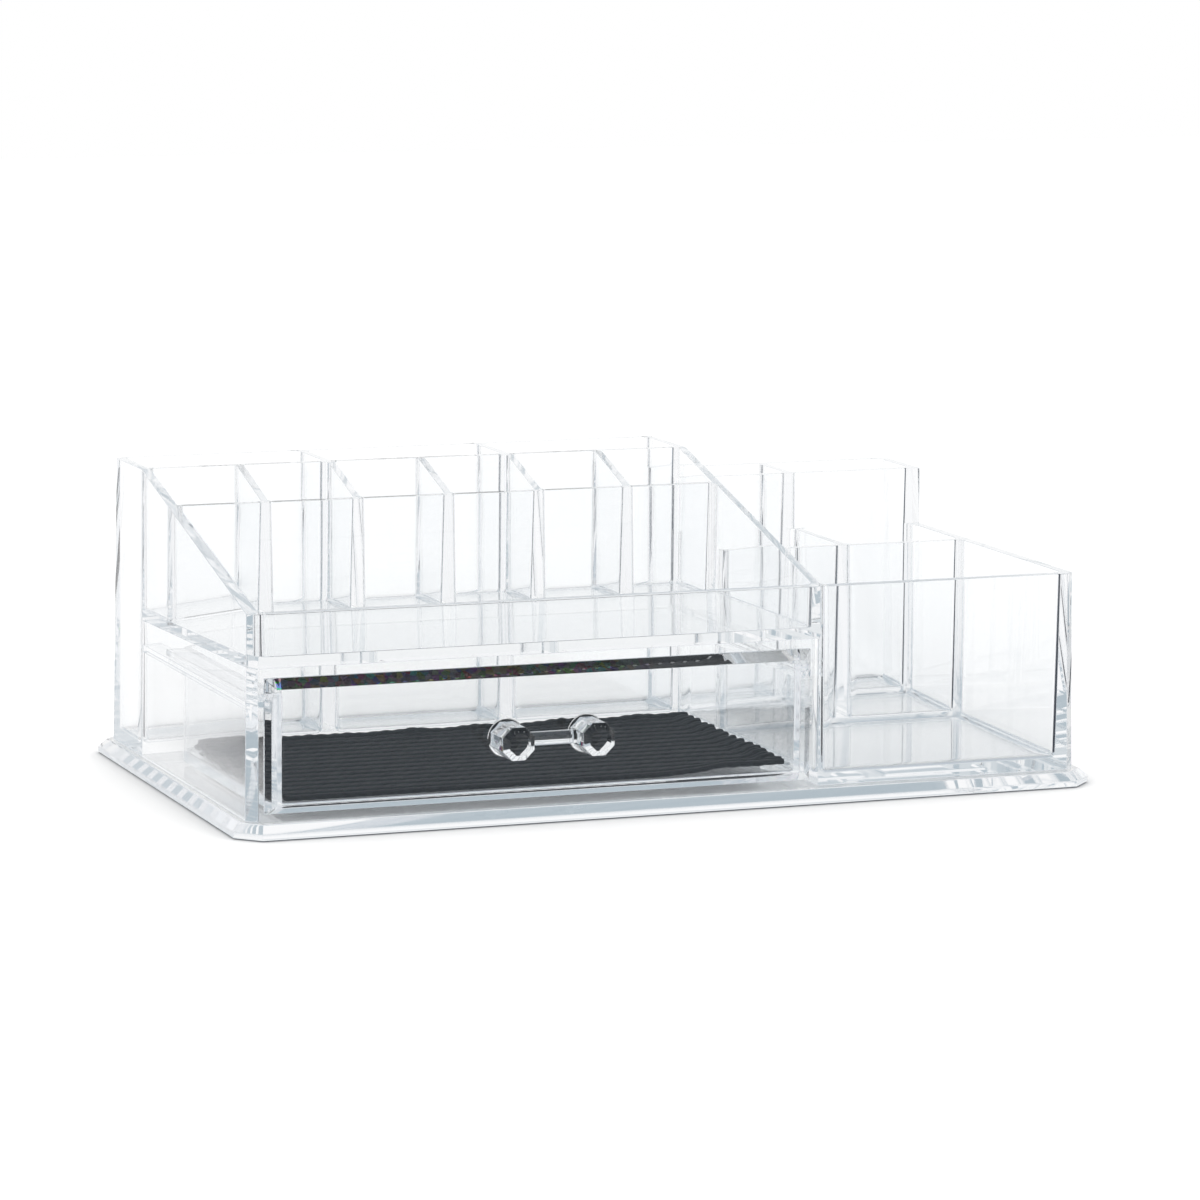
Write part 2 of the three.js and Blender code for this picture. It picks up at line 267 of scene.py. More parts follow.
def paper_seen(tree):
    """The paper to the eye: matt white, with a painted contact shadow close to what stands on it.
    """
    to_camera = tree.nodes.new("ShaderNodeLightPath").outputs["Is Camera Ray"]
    matt = add(tree.nodes, "ShaderNodeBsdfDiffuse", Color=FLOOR_WHITE)
    lift = tree.nodes.new("ShaderNodeEmission")
    tree.links.new(product(tree, to_camera, FLOOR_LIFT), lift.inputs["Strength"])
    lifted = tree.nodes.new("ShaderNodeAddShader")
    tree.links.new(matt.outputs[0], lifted.inputs[0])
    tree.links.new(lift.outputs[0], lifted.inputs[1])
    # Painted contact shadow: for the eye only, a dark colour mixes in where ambient occlusion
    # finds something close.
    nearby = add(
        tree.nodes, "ShaderNodeAmbientOcclusion", samples=CONTACT_SAMPLES, Distance=CONTACT_REACH,
    )
    painted_contact_share = ramp(tree, nearby.outputs["AO"], 1.0, 1.0 - 1.0 / CONTACT_STRENGTH)
    painted_contact_shade = add(tree.nodes, "ShaderNodeBsdfDiffuse", Color=PAINTED_CONTACT_SHADOW)
    return either(tree, product(tree, painted_contact_share, to_camera), lifted.outputs[0], painted_contact_shade.outputs[0])


def paper_painted_reflection(tree):
    """Painted reflections: for mirrored light the paper glows white, with a grey card and dark
    cards painted in.
    """
    axes = tree.nodes.new("ShaderNodeSeparateXYZ")
    tree.links.new(tree.nodes.new("ShaderNodeTexCoord").outputs["Object"], axes.inputs[0])
    painted_grey_card = tree.nodes.new("ShaderNodeValToRGB")
    stops = painted_grey_card.color_ramp.elements
    stops.remove(stops[1])
    stops[0].position, stops[0].color = PAINTED_REFLECTION_STOPS[0]
    for spot, colour in PAINTED_REFLECTION_STOPS[1:]:
        stops.new(spot).color = colour
    tree.links.new(ramp(tree, axes.outputs["Y"], *PAINTED_REFLECTION_SPAN), painted_grey_card.inputs["Fac"])
    outward = add(tree.nodes, "ShaderNodeMath", operation="ABSOLUTE")
    tree.links.new(axes.outputs["X"], outward.inputs[0])
    painted_dark_share = 1.0
    for value, span in (
        (outward.outputs[0], PAINTED_DARK_EDGES), (axes.outputs["Y"], PAINTED_DARK_FRONT),
        (axes.outputs["Y"], PAINTED_DARK_BACK),
    ):
        edge = ramp(tree, value, *span, interpolation_type="SMOOTHSTEP")
        painted_dark_share = product(tree, edge, painted_dark_share)
    # The paper glows in these painted reflection tones, seen only in mirrored light.
    glow = tree.nodes.new("ShaderNodeEmission")
    tree.links.new(blended(tree, painted_dark_share, painted_grey_card.outputs["Color"], PAINTED_REFLECTION_DARK), glow.inputs["Color"])
    return glow.outputs[0]


def white_paper():
    """The floor's material: one look for the eye, and painted reflections for what mirrors it."""
    material, tree = new_material("white_paper")
    show(tree, either(tree, mirrored(tree), paper_seen(tree), paper_painted_reflection(tree)))
    return material


floor_mesh = bpy.data.meshes.new("floor")
floor_mesh.from_pydata(
    [(-FLOOR_HALF, -FLOOR_HALF, -FLOOR_DROP), (FLOOR_HALF, -FLOOR_HALF, -FLOOR_DROP),
     (FLOOR_HALF, FLOOR_HALF, -FLOOR_DROP), (-FLOOR_HALF, FLOOR_HALF, -FLOOR_DROP)],
    [], [(0, 1, 2, 3)],
)
floor_mesh.materials.append(white_paper())
floor = bpy.data.objects.new("floor", floor_mesh)
bpy.context.scene.collection.objects.link(floor)

key_data = bpy.data.lights.new("key", "AREA")
key_data.shape = "RECTANGLE"
key_data.size, key_data.size_y = KEY_SIZE
key_data.energy = KEY_WATTS
key = bpy.data.objects.new("key", key_data)
key.location = KEY_PLACE
key.rotation_mode = "QUATERNION"
key.rotation_quaternion = (AIM - key.location).to_track_quat("-Z", "Y")
key.visible_glossy = False
key.visible_transmission = False
bpy.context.scene.collection.objects.link(key)


# Body shell.
# The walls, floors, dividers and drawer rails are one clear polished shell. Each
# compartment is a pocket whose walls lean in a little and whose foot is rounded.
MM = 0.001
OVERRUN = 5.0
SHELL_CORNER_CLIP = 3.5
SHELL_DRAFT = 1.4
HOUSING_DRAFT = 1.0
SLOPE_FRONT_OFFSET = 3.5
PLATE_AIR_GAP = 0.05
POCKET_CORNER = 3.0
LIPSTICK_CORNER = 1.4
POCKET_FOOT = 2.4
LIPSTICK_FOOT = 1.3
TRAY_FOOT = 0.3
TRAY_THICKNESS = 3.6
POCKET_DRAFT = 0.9
POCKET_STEPS = 4
RAIL_SINK = 2.0
LIPSTICK_TOP_LANDING = 2.5
LANDING_DROP = 0.15
PARTITION_BY_TRAY = 2.2
PARTITION_BY_BAYS = 3.0
RIM_ROUNDING = 0.25
ROUNDING_SEGMENTS = 2
ROUNDED_FROM = math.radians(35)
WELD_REACH = 0.002
FLAT_WITHIN = math.radians(0.5)
MOST_CORNERS = 8
FACE_WEIGHT = 100
CLEAR_TINT = (0.994, 0.998, 1.0, 1)
CLEAR_IOR = 1.5
CLEAR_SHADE = (0.985, 0.99, 0.992, 1)
WAVE_SCALE = 14.0
WAVE_DETAIL = 1.0
BODY_WAVE = 0.02 * MM
HAZE_SCALE = 60.0
HAZE_DETAIL = 3.0
HAZE_SPAN = (0.4, 0.8)
HAZE_ROUGHNESS = 0.012


def corners_of(node):
    """A CAD node's lowest and highest corner, in millimetres."""
    low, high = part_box(node)
    return low / MM, high / MM


def loft(rings):
    """A closed bmesh through rings of points that run counter-clockwise seen from the last."""
    made = bmesh.new()
    levels = [[made.verts.new(point) for point in ring] for ring in rings]
    for lower, upper in zip(levels, levels[1:]):
        for i in range(len(lower)):
            j = (i + 1) % len(lower)
            made.faces.new((lower[i], lower[j], upper[j], upper[i]))
    made.faces.new(levels[0][::-1])
    made.faces.new(levels[-1])
    return made


def clipped_ring(low, high, clip, z):
    """A level rectangle with its four corners clipped."""
    return [
        (low.x + clip, low.y, z), (high.x - clip, low.y, z),
        (high.x, low.y + clip, z), (high.x, high.y - clip, z),
        (high.x - clip, high.y, z), (low.x + clip, high.y, z),
        (low.x, high.y - clip, z), (low.x, low.y + clip, z),
    ]


def across(outline, left, right):
    """A closed bmesh with one side view, an outline of (y, z), all the way across."""
    return loft([[(x, y, z) for y, z in outline] for x in (left, right)])


def box(low, high):
    """A closed bmesh of a plain box between two corners."""
    outline = [(low.y, low.z), (high.y, low.z), (high.y, high.z), (low.y, high.z)]
    return across(outline, low.x, high.x)


def pocket(low, high, fall=0.0, upright_from=None, corner=POCKET_CORNER, foot=POCKET_FOOT):
    """The inside of a compartment: walls with draft, rounded upright corners and foot."""
    top_of_draft = high.z if upright_from is None else upright_from

    def ring(z, inset, radius):
        points = []
        for turn, (x, y) in enumerate((
            (high.x, high.y), (low.x, high.y), (low.x, low.y), (high.x, low.y),
        )):
            way = Vector((1 if x == high.x else -1, 1 if y == high.y else -1))
            centre = Vector((x, y)) - way * (inset + radius)
            for step in range(POCKET_STEPS + 1):
                angle = math.pi / 2 * (turn + step / POCKET_STEPS)
                points.append((
                    centre.x + radius * math.cos(angle),
                    centre.y + radius * math.sin(angle),
                    z - fall * (centre.y - low.y) / (high.y - low.y),
                ))
        return points

    def lean(z):
        return POCKET_DRAFT * max(top_of_draft - z, 0) / (top_of_draft - low.z)

    rings = []
    for step in range(POCKET_STEPS + 1):
        angle = math.pi / 2 * step / POCKET_STEPS
        z = low.z + foot * (1 - math.cos(angle))
        inset = foot * (1 - math.sin(angle))
        rings.append(ring(z, lean(z) + inset, corner - inset))
    for z in (top_of_draft, high.z + OVERRUN):
        rings.append(ring(z, 0, corner))
    return loft(rings)


def as_object(made, name):
    """A bmesh in millimetres as an object in metres, in the same frame."""
    mesh = bpy.data.meshes.new(name)
    made.to_mesh(mesh)
    made.free()
    mesh.transform(Matrix.Scale(MM, 4))
    thing = bpy.data.objects.new(name, mesh)
    bpy.context.scene.collection.objects.link(thing)
    return thing


def finished(thing, name):
    """The object's evaluated mesh under its final name; the working object goes."""
    bpy.context.view_layer.update()
    graph = bpy.context.evaluated_depsgraph_get()
    mesh = bpy.data.meshes.new_from_object(thing.evaluated_get(graph))
    bpy.data.objects.remove(thing)
    mesh.name = name
    piece = bpy.data.objects.new(name, mesh)
    bpy.context.scene.collection.objects.link(piece)
    return piece


def carved(blank, steps, name, rounding):
    """Cuts and joins in turn, then rounds every edge a little, and gives the solid in metres.
    Steps are (operation, bmesh). It works in millimetres, where the cuts are the most exact."""
    helpers = []
    work = as_object(blank, "blank")
    work.data.transform(Matrix.Scale(1 / MM, 4))
    for operation, made in steps:
        helper = as_object(made, "cutter")
        helper.data.transform(Matrix.Scale(1 / MM, 4))
        cut = work.modifiers.new(operation, "BOOLEAN")
        cut.operation = operation
        cut.solver = "EXACT"
        cut.object = helper
        helpers.append(helper)
    piece = finished(work, name)
    for helper in helpers:
        bpy.data.objects.remove(helper)
    made = bmesh.new()
    made.from_mesh(piece.data)
    bmesh.ops.remove_doubles(made, verts=made.verts, dist=WELD_REACH)
    bmesh.ops.dissolve_limit(
        made, angle_limit=FLAT_WITHIN, verts=made.verts, edges=made.edges,
    )
    many_sided = [face for face in made.faces if len(face.verts) > MOST_CORNERS]
    bmesh.ops.triangulate(made, faces=many_sided)
    made.to_mesh(piece.data)
    made.free()
    rim = piece.modifiers.new("rounding", "BEVEL")
    rim.width = rounding
    rim.segments = ROUNDING_SEGMENTS
    rim.limit_method = "ANGLE"
    rim.angle_limit = ROUNDED_FROM
    rim.use_clamp_overlap = False
    piece = finished(piece, name)
    piece.data.transform(Matrix.Scale(MM, 4))
    for polygon in piece.data.polygons:
        polygon.use_smooth = True
    flat = piece.modifiers.new("flat faces", "WEIGHTED_NORMAL")
    flat.mode = "FACE_AREA"
    flat.weight = FACE_WEIGHT
    return finished(piece, name)


def clear_plastic(name, wave, tint=None):
    """Polished clear polystyrene. Its skin is a little wavy from the mould, and lamps shine
    through it, so that it casts only a faint grey shadow. A tint is a function for its colour."""
    material, tree = new_material(name)
    nodes, links = tree.nodes, tree.links
    place = nodes.new("ShaderNodeTexCoord").outputs["Object"]
    waves = add(nodes, "ShaderNodeTexNoise", Scale=WAVE_SCALE, Detail=WAVE_DETAIL)
    links.new(place, waves.inputs["Vector"])
    skin = add(nodes, "ShaderNodeBump", Strength=1.0, Distance=wave)
    links.new(waves.outputs["Fac"], skin.inputs["Height"])
    haze = add(nodes, "ShaderNodeTexNoise", Scale=HAZE_SCALE, Detail=HAZE_DETAIL)
    links.new(place, haze.inputs["Vector"])
    clear = add(
        nodes, "ShaderNodeBsdfPrincipled",
        Base_Color=CLEAR_TINT, IOR=CLEAR_IOR, Transmission_Weight=1.0,
    )
    if tint:
        links.new(tint(tree, place), clear.inputs["Base Color"])
    links.new(
        ramp(tree, haze.outputs["Fac"], *HAZE_SPAN, To_Max=HAZE_ROUGHNESS),
        clear.inputs["Roughness"],
    )
    links.new(skin.outputs["Normal"], clear.inputs["Normal"])
    shade = add(nodes, "ShaderNodeBsdfTransparent", Color=CLEAR_SHADE)
    to_lamp = nodes.new("ShaderNodeLightPath").outputs["Is Shadow Ray"]
    show(tree, either(tree, to_lamp, clear.outputs[0], shade.outputs[0]))
    return material


left_wall = corners_of("left_side_wall")
right_wall = corners_of("right_side_wall")
partition = corners_of("partition_wall")
back_wall = corners_of("tall_back_wall")
mid_wall = corners_of("mid_wall")
tray_front = corners_of("tray_front_wall")
lipstick_front = corners_of("lipstick_front_wall")
right_bay_front = corners_of("right_bay_front_wall")
cup_row = corners_of("cup_row_wall")
tray_floor = corners_of("tray_floor")
floor_top = corners_of("right_floor")[1].z
plate_top = corners_of("base_plate")[1].z

body_low = Vector((left_wall[0].x, left_wall[0].y, plate_top + PLATE_AIR_GAP))
body_high = Vector((right_wall[1].x, left_wall[1].y, left_wall[1].z))
low_height = tray_front[1].z
right_height = right_wall[1].z
slope_front = left_wall[0].y + SLOPE_FRONT_OFFSET


def tray_top(y):
    """The tray floor's upper face falls from its front edge to the mid wall."""
    back = tray_floor[0].z + TRAY_THICKNESS
    share = (y - tray_floor[0].y) / (tray_floor[1].y - tray_floor[0].y)
    return tray_floor[1].z + (back - tray_floor[1].z) * share


def slope_height(y):
    """The sloping rim of the tall block's side walls."""
    share = (y - slope_front) / (mid_wall[0].y - slope_front)
    return low_height + (body_high.z - low_height) * share


front, back = body_low.y - OVERRUN, body_high.y + OVERRUN
left, right = body_low.x - OVERRUN, body_high.x + OVERRUN
sky_z = body_high.z + OVERRUN
row_front = lipstick_front[0].y
landing_z = lipstick_front[1].z - LANDING_DROP
tray_right = partition[1].x - PARTITION_BY_TRAY
row_right = partition[1].x - PARTITION_BY_BAYS
beside_row = [
    (row_front - OVERRUN, slope_height(row_front - OVERRUN)), (mid_wall[0].y, body_high.z),
    (mid_wall[0].y, sky_z), (row_front - OVERRUN, sky_z),
]
lean_out = Vector((SHELL_DRAFT, SHELL_DRAFT, 0))
blank = loft([
    clipped_ring(body_low - lean_out, body_high + lean_out, SHELL_CORNER_CLIP, body_low.z),
    clipped_ring(body_low, body_high, SHELL_CORNER_CLIP, body_high.z),
])
cuts = [
    across([
        (front, low_height), (slope_front, low_height), (row_front, slope_height(row_front)),
        (row_front, sky_z), (front, sky_z),
    ], left, partition[1].x),
    across(beside_row, left, left_wall[1].x),
    across(beside_row, row_right, partition[1].x),
    across([
        (row_front - OVERRUN, landing_z), (lipstick_front[1].y, landing_z),
        (mid_wall[0].y - LIPSTICK_TOP_LANDING, body_high.z),
        (mid_wall[0].y - LIPSTICK_TOP_LANDING, sky_z), (row_front - OVERRUN, sky_z),
    ], left_wall[1].x, row_right),
    across([
        (front, low_height), (right_bay_front[0].y, low_height),
        (right_bay_front[0].y, right_height), (back, right_height), (back, sky_z), (front, sky_z),
    ], partition[1].x, right),
    # the drawer's housing
    loft([
        [(x, y, z) for x, z in (
            (left_wall[1].x - out, body_low.z - OVERRUN), (tray_right, body_low.z - OVERRUN),
            (tray_right, top), (left_wall[1].x - out, top),
        )]
        for y, out, top in (
            (mid_wall[0].y, 0, tray_top(mid_wall[0].y) - TRAY_THICKNESS),
            (tray_front[0].y, HOUSING_DRAFT, tray_front[0].z),
            (front, HOUSING_DRAFT, tray_front[0].z),
        )
    ]),
    # the tray
    pocket(
        Vector((left_wall[1].x, tray_front[1].y, tray_top(tray_front[1].y))),
        Vector((tray_right, lipstick_front[0].y, body_high.z)),
        fall=tray_top(tray_front[1].y) - tray_top(lipstick_front[0].y), foot=TRAY_FOOT,
    ),
]


def dividers_in(prefix):
    """The corners of a row's dividers, from left to right."""
    return [corners_of(node) for node in sorted(frame["nodes"]) if node.startswith(prefix)]


def row_of_pockets(sides, y_low, y_high, z_low, z_high, **settings):
    """One pocket between each two neighbouring pieces of a row, from left to right."""
    for one, other in zip(sides, sides[1:]):
        cuts.append(pocket(
            Vector((one[1].x, y_low, z_low)), Vector((other[0].x, y_high, z_high)), **settings,
        ))


bays_end = (Vector((row_right, 0, 0)), partition[1])
lipstick_floor = tray_top(lipstick_front[1].y)
row_of_pockets(
    [left_wall, *dividers_in("lipstick_divider"), bays_end],
    lipstick_front[1].y, mid_wall[0].y, lipstick_floor, body_high.z,
    fall=lipstick_floor - tray_top(mid_wall[0].y), upright_from=landing_z,
    corner=LIPSTICK_CORNER, foot=LIPSTICK_FOOT,
)
row_of_pockets(
    [left_wall, *dividers_in("back_bay_divider"), bays_end],
    mid_wall[1].y, back_wall[0].y, floor_top, body_high.z,
)
row_of_pockets(
    [partition, *dividers_in("right_bay_divider"), right_wall],
    right_bay_front[1].y, back_wall[0].y, floor_top, right_height,
)
row_of_pockets(
    [partition, *dividers_in("cup_divider"), right_wall],
    cup_row[1].y, right_bay_front[0].y, floor_top, low_height,
)
row_of_pockets(
    [partition, right_wall], tray_front[1].y, cup_row[0].y, floor_top, low_height,
)
body_steps = [("DIFFERENCE", cutter) for cutter in cuts]
for node, sink in (("left_drawer_rail", -RAIL_SINK), ("right_drawer_rail", RAIL_SINK)):
    low, high = corners_of(node)
    body_steps.append(("UNION", box(
        low + Vector((min(sink, 0), 0, 0)), high + Vector((max(sink, 0), RAIL_SINK, 0)),
    )))
shell = carved(blank, body_steps, "clear_body", RIM_ROUNDING)
shell.data.materials.clear()
body_plastic = clear_plastic("clear_body_polystyrene", BODY_WAVE)
shell.data.materials.append(body_plastic)
ORGANIZER_NODES = [
    node for node in frame["record"]["behaviour"]["bodies"]["organizer"] if node != "base_plate"
]
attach(shell, "organizer")
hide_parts(*ORGANIZER_NODES)


# Base plate.
# A thick clear plate with clipped corners and a bevel round its upper edge. The body
# stands on it with a hair of air in the joint, which is why its foot shows as a line.
PLATE_ROUNDING = 0.35
COPY_WELD_REACH = 0.001
COPY_FLAT_WITHIN = math.radians(1)


def merged_copy(node):
    """A CAD node's solid as a bmesh in millimetres, with its triangles joined up."""
    made = bmesh.new()
    made.from_mesh(frame["nodes"][node].data)
    bmesh.ops.scale(made, vec=(1 / MM,) * 3, verts=made.verts)
    bmesh.ops.remove_doubles(made, verts=made.verts, dist=COPY_WELD_REACH)
    bmesh.ops.dissolve_limit(
        made, angle_limit=COPY_FLAT_WITHIN, verts=made.verts, edges=made.edges,
    )
    return made


plate = carved(merged_copy("base_plate"), [], "clear_base_plate", PLATE_ROUNDING)
plate.data.materials.clear()
plate.data.materials.append(body_plastic)
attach(plate, "organizer")
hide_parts("base_plate")


# Drawer and handle.
# One clear box hangs by its lips. Its front is a thick plate with a bevel all round; the upper
# bevel has painted colour flecks in place of the light that it splits into colours. Two octagonal
# knobs with a bar between them are bonded to it.
DRAWER_JOIN = 1.0
DRAWER_CORNER = 8.0
DRAWER_CORNER_STEPS = 6
DRAWER_WALL = 2.2
DRAWER_FOOT = 1.2
DRAWER_FOOT_STEP_SHARE = 0.3
DRAWER_ROUNDING = 0.2
DRAWER_WAVE = 0.01 * MM
LIP_THICKNESS = 2.2
GUSSET_DEPTH = 2.5
GUSSET_DROP = 0.4
BAR_THICKNESS_SHARE = 0.94
KNOB_FLARE = 1.4
KNOB_FLARE_SEAT = 0.15
KNOB_FLARE_STEPS = 6
KNOB_FLARE_SIDES = 32
TOUCHING = 0.01
FRONT_BEVEL = 3.4
BEVEL_FADE = 0.1
# Painted dispersion: colour flecks on the drawer front's upper bevel.
PAINTED_DISPERSION_SCALE = 450.0
PAINTED_DISPERSION_DEPTH = 2.0
PAINTED_DISPERSION_END = 137.5
PAINTED_DISPERSION_FADE = 12.5
drawer_floor = corners_of("drawer_floor")
drawer_left = corners_of("drawer_left_side")
drawer_right = corners_of("drawer_right_side")
drawer_front = corners_of("drawer_front")
joined_y = drawer_floor[0].y - DRAWER_JOIN
lip_top = drawer_left[1].z
lip_foot = lip_top - LIP_THICKNESS


def rounded_back(low, high, radius, z):
    """A plan that is square in front and rounded at both back corners."""
    points = [(low.x, low.y, z), (high.x, low.y, z)]
    for turn, x in enumerate((high.x - radius, low.x + radius)):
        for step in range(DRAWER_CORNER_STEPS + 1):
            angle = math.pi / 2 * (turn + step / DRAWER_CORNER_STEPS)
            points.append((
                x + radius * math.cos(angle), high.y - radius + radius * math.sin(angle), z,
            ))
    return points


def drawer_box():
    """The drawer's outside, let into the front by the join."""
    low = Vector((drawer_floor[0].x, joined_y, drawer_floor[0].z))
    return loft([
        rounded_back(low, drawer_floor[1], DRAWER_CORNER, z) for z in (low.z, lip_top)
    ])


def drawer_inside():
    """The drawer's inside, open at the top and with a small chamfered foot."""
    low = drawer_floor[0] + Vector((DRAWER_WALL, 0, 0))
    high = drawer_floor[1] - Vector((DRAWER_WALL, DRAWER_WALL, 0))
    step = DRAWER_FOOT * DRAWER_FOOT_STEP_SHARE
    rings = []
    for z, inset in (
        (high.z, DRAWER_FOOT), (high.z + step, step), (high.z + DRAWER_FOOT, 0),
        (lip_top + OVERRUN, 0),
    ):
        way_in = Vector((inset, inset, 0))
        radius = DRAWER_CORNER - DRAWER_WALL - inset
        rings.append(rounded_back(low + way_in, high - way_in, radius, z))
    return loft(rings)


def knob_and_flare(node):
    """A knob let into the drawer front by the join, and the small flare round its seat."""
    knob = merged_copy(node)
    seat = drawer_front[0].y
    for point in knob.verts:
        if abs(point.co.y - seat) < TOUCHING:
            point.co.y += DRAWER_JOIN
    low, high = corners_of(node)
    centre = (low + high) / 2
    radius = (high.z - low.z) / 2 - KNOB_FLARE_SEAT
    rings = []
    for step in range(KNOB_FLARE_STEPS + 1):
        angle = math.pi / 2 * step / KNOB_FLARE_STEPS
        reach = radius + KNOB_FLARE * (1 - math.sin(angle))
        out = KNOB_FLARE * (1 - math.cos(angle)) - (DRAWER_JOIN if step == 0 else 0)
        rings.append([(
            centre.x + reach * math.cos(math.tau * side / KNOB_FLARE_SIDES), seat - out,
            centre.z + reach * math.sin(math.tau * side / KNOB_FLARE_SIDES),
        ) for side in range(KNOB_FLARE_SIDES)])
    return knob, loft(rings)


def handle_bar():
    """The bar, a little slimmer than its solid and let into both knobs by the join."""
    bar = merged_copy("handle_bar")
    low, high = corners_of("handle_bar")
    middle = (low + high) / 2
    bmesh.ops.scale(
        bar, vec=(1, BAR_THICKNESS_SHARE, BAR_THICKNESS_SHARE), verts=bar.verts,
        space=Matrix.Translation(-middle),
    )
    for point in bar.verts:
        point.co.x += DRAWER_JOIN if point.co.x > middle.x else -DRAWER_JOIN
    return bar


def bevel_painted_dispersion(tree, place):
    """Clear, but with painted colour flecks on the front's upper bevel, in place of the light it
    splits.
    They fade out towards its right end."""
    axes = tree.nodes.new("ShaderNodeSeparateXYZ")
    tree.links.new(place, axes.inputs[0])
    share = 1.0
    for axis, middle, fade in (
        ("Z", drawer_front[1].z - FRONT_BEVEL, BEVEL_FADE),
        ("Y", drawer_front[0].y + FRONT_BEVEL, -BEVEL_FADE),
        ("X", drawer_front[0].x + FRONT_BEVEL, BEVEL_FADE),
        ("X", drawer_front[0].x + PAINTED_DISPERSION_END, -PAINTED_DISPERSION_FADE),
    ):
        edge = ramp(tree, axes.outputs[axis], (middle - fade) * MM, (middle + fade) * MM)
        share = product(tree, edge, share)
    # Painted dispersion: coloured cells in the base colour stand in for the light the bevel splits
    # into colours.
    dispersion_cells = add(tree.nodes, "ShaderNodeTexVoronoi", Scale=PAINTED_DISPERSION_SCALE)
    tree.links.new(place, dispersion_cells.inputs["Vector"])
    deeper = add(tree.nodes, "ShaderNodeGamma", Gamma=PAINTED_DISPERSION_DEPTH)
    tree.links.new(dispersion_cells.outputs["Color"], deeper.inputs["Color"])
    return blended(tree, share, CLEAR_TINT, deeper.outputs[0])


drawer_steps = [("DIFFERENCE", drawer_inside())]
for lip_left, lip_right, lip_back in (
    (drawer_left[0].x, drawer_floor[0].x + DRAWER_WALL / 2, drawer_left[1].y),
    (drawer_floor[1].x - DRAWER_WALL / 2, drawer_right[1].x, drawer_right[1].y),
):
    drawer_steps.append(("UNION", box(
        Vector((lip_left, joined_y, lip_foot)), Vector((lip_right, lip_back, lip_top)),
    )))
for gusset_left in (drawer_floor[0].x, drawer_floor[1].x - DRAWER_WALL):
    drawer_steps.append(("UNION", box(
        Vector((gusset_left, joined_y, lip_foot)),
        Vector((gusset_left + DRAWER_WALL, drawer_floor[0].y + GUSSET_DEPTH,
                drawer_front[1].z - GUSSET_DROP)),
    )))
for joined in (
    merged_copy("drawer_front"), *knob_and_flare("left_knob"), *knob_and_flare("right_knob"),
    handle_bar(),
):
    drawer_steps.append(("UNION", joined))
drawer = carved(drawer_box(), drawer_steps, "clear_drawer", DRAWER_ROUNDING)
drawer.data.materials.clear()
drawer.data.materials.append(
    clear_plastic("clear_drawer_polystyrene", DRAWER_WAVE, tint=bevel_painted_dispersion)
)
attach(drawer, "drawer")
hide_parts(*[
    node for node in frame["record"]["behaviour"]["bodies"]["drawer"] if node != "drawer_liner"
])


# Drawer liner.
# A loose mat of black foam-coated yarn, knitted as rows of wavy cords that are fused where
# they touch. Every other row stands a little higher. It was cut to size, so its ends are ragged.
LINER_LOW, LINER_HIGH = corners_of("drawer_liner")
LINER_ROWS = 28
LINER_END_MARGIN = 1.5
LINER_ROWS_MARGIN = 4.4
FIRST_ROW_SHARE = 1.3
CORD_SIDES = 6
ROW_SLIP = 1.2
CURL_FROM_BACK = 13
CURL_FROM_RIGHT = 9
CURL_CORNER_DEPTH = 11
CURL_CORNER_WIDTH = (50, 16)
CURL_SCALE = 70.0
CURL_DETAIL = 1.0
CURL_LEAST = 0.4
LINER_INPUTS = {
    "Length": ("NodeSocketFloat", (LINER_HIGH.x - LINER_LOW.x - 2 * LINER_END_MARGIN) * MM),
    "Points": ("NodeSocketInt", 310),
    "Rows": ("NodeSocketInt", LINER_ROWS),
    "Row Spacing": (
        "NodeSocketFloat",
        (LINER_HIGH.y - LINER_LOW.y - LINER_ROWS_MARGIN) / (LINER_ROWS - 1) * MM,
    ),
    "Wave Length": ("NodeSocketFloat", 4.9 * MM),
    "Wave Height": ("NodeSocketFloat", 0.35 * MM),
    "Cord Radius": ("NodeSocketFloat", 1.8 * MM),
    "Cord Flatness": ("NodeSocketFloat", 0.55),
    "Rib Lift": ("NodeSocketFloat", 0.35 * MM),
    "Ragged Ends": ("NodeSocketFloat", 0.8 * MM),
    "Curl": ("NodeSocketFloat", 2.2 * MM),
    "Seed": ("NodeSocketInt", 4),
}
FOAM_DARK = (0.0006, 0.0009, 0.0014, 1)
FOAM_LIGHT = (0.014, 0.017, 0.021, 1)
# Painted shade low between the cords, and the heights over which it fades out.
FOAM_PAINTED_SHADE = (0.0004, 0.0005, 0.0008, 1)
FOAM_PAINTED_SHADE_FADE = (1.2, 1.7)
FOAM_GRAIN_SCALE = 1400.0
FOAM_GRAIN_DETAIL = 3.0
FOAM_BUMP = 0.8
FOAM_BUMP_HEIGHT = 0.2 * MM
FOAM_ROUGHNESS = 0.6
FOAM_SHINE = 0.12


def flow(tree):
    """Short ways to add and join the nodes of a Geometry Nodes tree."""
    def put(kind, inputs=(), **settings):
        node = tree.nodes.new(kind)
        for name, value in settings.items():
            setattr(node, name, value)
        for key, value in dict(inputs).items():
            socket = node.inputs[key]
            if isinstance(value, bpy.types.NodeSocket):
                tree.links.new(value, socket)
            else:
                socket.default_value = value
        return node

    def maths(operation, first, second=0.0, third=0.0):
        return put("ShaderNodeMath", {
            0: first, 1: second, 2: third,
        }, operation=operation).outputs[0]

    return put, maths


def grow(name, tree, values):
    """The plain mesh that a tree makes from these values, under the piece's name."""
    carrier = bpy.data.objects.new("carrier", bpy.data.meshes.new("carrier"))
    bpy.context.scene.collection.objects.link(carrier)
    modifier = carrier.modifiers.new("grow", "NODES")
    modifier.node_group = tree
    for item in tree.interface.items_tree:
        if item.item_type == "SOCKET" and item.in_out == "INPUT" and item.name in values:
            modifier[item.identifier] = values[item.name][1]
    return finished(carrier, name)


